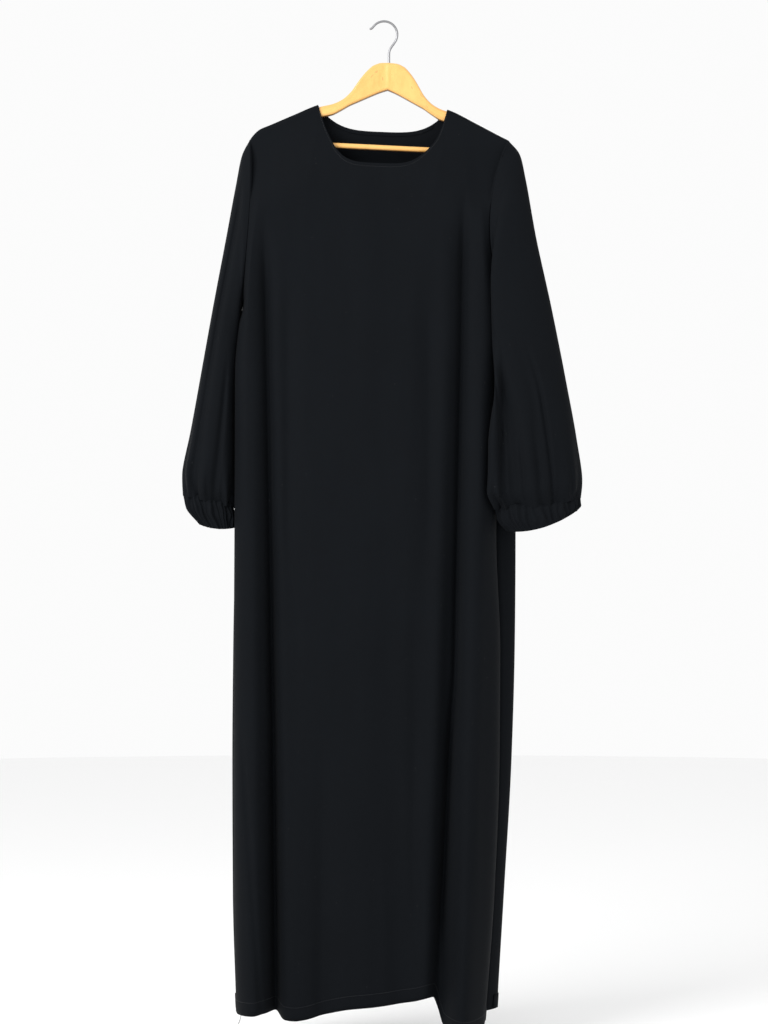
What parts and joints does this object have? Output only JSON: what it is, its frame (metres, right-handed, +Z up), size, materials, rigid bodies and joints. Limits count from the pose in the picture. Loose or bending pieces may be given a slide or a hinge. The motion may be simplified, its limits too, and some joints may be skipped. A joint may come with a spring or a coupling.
{
  "type": "abaya on a clothes hanger",
  "caption": "Long black pull-on abaya with a wide round neck and balloon sleeves gathered at the cuffs, hanging open on a wooden hanger with a bar and a wire hook.",
  "frame": {"origin": "the inside top of the hanger's hook, where a rail touches it", "axes": "+Z up, -Y towards someone who looks at the front of the abaya, +X to that person's right"},
  "size_m": [0.6619, 0.1442, 1.6717],
  "materials": {
    "cloth": "matt black crepe with a soft sheen",
    "wood": "clear lacquered pale wood",
    "chrome": "polished wire"
  },
  "bodies": {
    "root": {"front": "cloth", "back": "cloth", "neck_band": "cloth", "left_sleeve": "cloth", "right_sleeve": "cloth", "left_cuff": "cloth", "right_cuff": "cloth", "hanger_arms": "wood", "hanger_bar": "wood", "hanger_hook": "chrome"}
  },
  "joints": []
}
